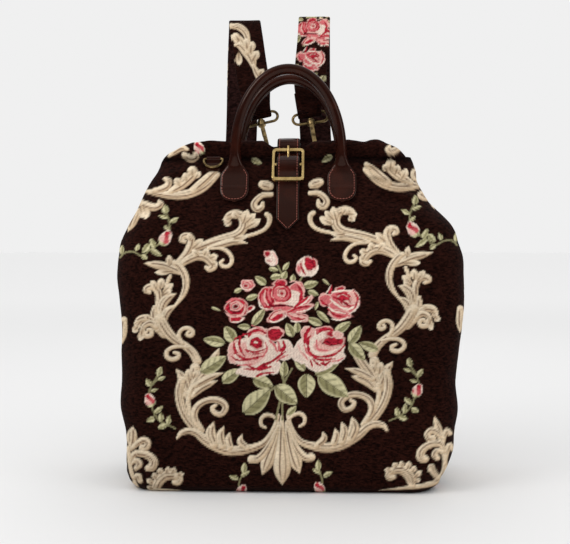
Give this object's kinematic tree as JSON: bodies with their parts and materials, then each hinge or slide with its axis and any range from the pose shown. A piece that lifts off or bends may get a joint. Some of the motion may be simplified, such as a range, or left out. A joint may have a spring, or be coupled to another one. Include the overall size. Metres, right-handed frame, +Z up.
{
  "type": "backpack",
  "caption": "Soft carpet-bag backpack with a framed mouth, rolled top handles, a buckled strap over the mouth and shoulder straps that clip on at the back.",
  "frame": {"origin": "on the floor under the middle of the bag's base", "axes": "+Z up, +X to the right as seen from the front, the front with the buckle faces -Y"},
  "size_m": [0.3806, 0.1771, 0.541],
  "materials": {
    "tapestry": "woven chenille",
    "leather": "glossy",
    "polished_brass": "polished",
    "antique_brass": "antique",
    "steel": "plain",
    "board": "matte"
  },
  "bodies": {
    "bag": {"front_panel": "tapestry", "back_panel": "tapestry", "left_gusset": "tapestry", "right_gusset": "tapestry", "base_panel": "tapestry", "base_board": "board", "front_frame_sleeve": "tapestry", "rear_frame_sleeve": "tapestry", "front_frame": "steel", "rear_frame": "steel", "frame_hinge_pins": "steel", "front_handle": "leather", "rear_handle": "leather", "closing_strap": "leather", "buckle_chape": "leather", "buckle_frame": "polished_brass", "buckle_prong": "polished_brass", "front_ring_tab": "leather", "rear_ring_tab": "leather", "left_strap_tab": "leather", "left_strap_ring": "antique_brass", "left_snap_eye": "antique_brass", "left_shoulder_strap": "tapestry", "right_strap_tab": "leather", "right_strap_ring": "antique_brass", "right_snap_eye": "antique_brass", "right_shoulder_strap": "tapestry"},
    "front_ring": {"front_ring": "antique_brass"},
    "rear_ring": {"rear_ring": "antique_brass"},
    "left_hook": {"left_snap_hook": "antique_brass", "left_gate_pin": "antique_brass"},
    "left_gate": {"left_snap_gate": "antique_brass"},
    "right_hook": {"right_snap_hook": "antique_brass", "right_gate_pin": "antique_brass"},
    "right_gate": {"right_snap_gate": "antique_brass"}
  },
  "joints": [
    {"name": "front_ring_swing", "type": "hinge", "parent": "bag", "child": "front_ring", "pos_m": [-0.083, -0.02508, 0.35855], "axis": [-1, 0, 0], "range_deg": [0, 150]},
    {"name": "rear_ring_swing", "type": "hinge", "parent": "bag", "child": "rear_ring", "pos_m": [0.083, 0.02508, 0.35855], "axis": [1, 0, 0], "range_deg": [0, 150]},
    {"name": "left_hook_swivel", "type": "hinge", "parent": "bag", "child": "left_hook", "pos_m": [-0.03365, 0.04081, 0.40569], "axis": [-0.2339, 0.3287, 0.915], "range_deg": [-12, 12]},
    {"name": "left_gate_spring", "type": "hinge", "parent": "left_hook", "child": "left_gate", "pos_m": [-0.03061, 0.03842, 0.39312], "axis": [-0.9723, -0.0791, -0.2201], "range_deg": [0, 16], "stiffness_Nm_per_rad": 0.05, "springref_deg": -11.46},
    {"name": "right_hook_swivel", "type": "hinge", "parent": "bag", "child": "right_hook", "pos_m": [0.02444, 0.04102, 0.40626], "axis": [-0.1502, 0.3342, 0.9305], "range_deg": [-12, 12]},
    {"name": "right_gate_spring", "type": "hinge", "parent": "right_hook", "child": "right_gate", "pos_m": [0.02639, 0.03855, 0.39349], "axis": [-0.9887, -0.0508, -0.1414], "range_deg": [0, 16], "stiffness_Nm_per_rad": 0.05, "springref_deg": -11.46}
  ]
}
